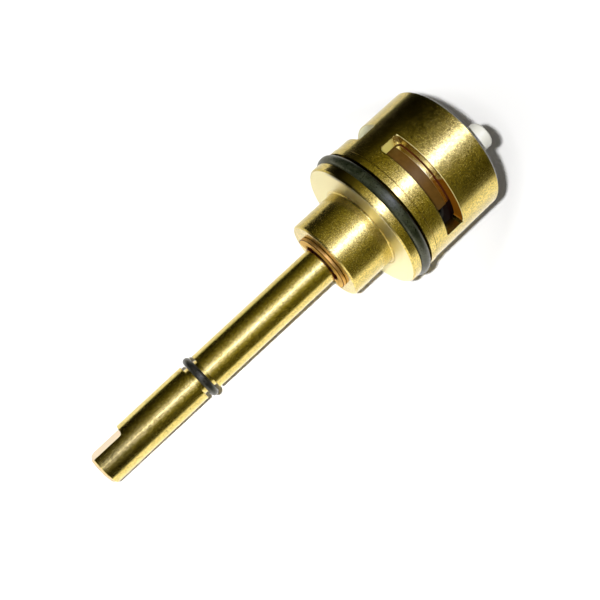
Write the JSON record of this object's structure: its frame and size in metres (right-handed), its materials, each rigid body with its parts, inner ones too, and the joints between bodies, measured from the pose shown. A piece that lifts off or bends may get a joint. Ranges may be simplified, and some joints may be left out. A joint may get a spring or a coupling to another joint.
{
  "type": "diverter cartridge",
  "caption": "Brass diverter cartridge with a long round stem, sealed flange, side windows and a pegged base; the stem turns a ported disc that switches between outlets.",
  "frame": {"origin": "centre of the flange's front face, on the axis, where the neck stands", "axes": "+Y along the axis from the stem towards the base, +Z the side that faces the viewer in the picture, +X towards the picture's lower right"},
  "size_m": [0.031, 0.0972, 0.031],
  "materials": {
    "brass": "bright turned, fine turning marks",
    "copper_ring": "bronze tone, smooth",
    "rubber": "soft sheen",
    "white_plastic": "moulded, matt",
    "brown_plastic": "moulded, glossy",
    "ceramic": "lapped"
  },
  "bodies": {
    "housing": {"valve_body": "brass", "flange_o_ring": "rubber", "thrust_washer": "white_plastic", "fixed_disc": "ceramic", "disc_seal_1": "rubber", "disc_seal_2": "rubber", "base_insert": "white_plastic", "port_seal_1": "rubber", "port_seal_2": "rubber", "port_liner_1": "white_plastic", "port_liner_2": "white_plastic"},
    "spindle": {"stem": "brass", "stem_o_ring": "rubber", "snap_ring": "copper_ring", "neck_o_ring_front": "rubber", "neck_o_ring_rear": "rubber", "driver": "brown_plastic", "moving_disc": "ceramic"}
  },
  "joints": [
    {"name": "stem_turn", "type": "hinge", "parent": "housing", "child": "spindle", "pos_m": [0, 0, 0], "axis": [0, 1, 0], "range_deg": [0, 180]}
  ]
}
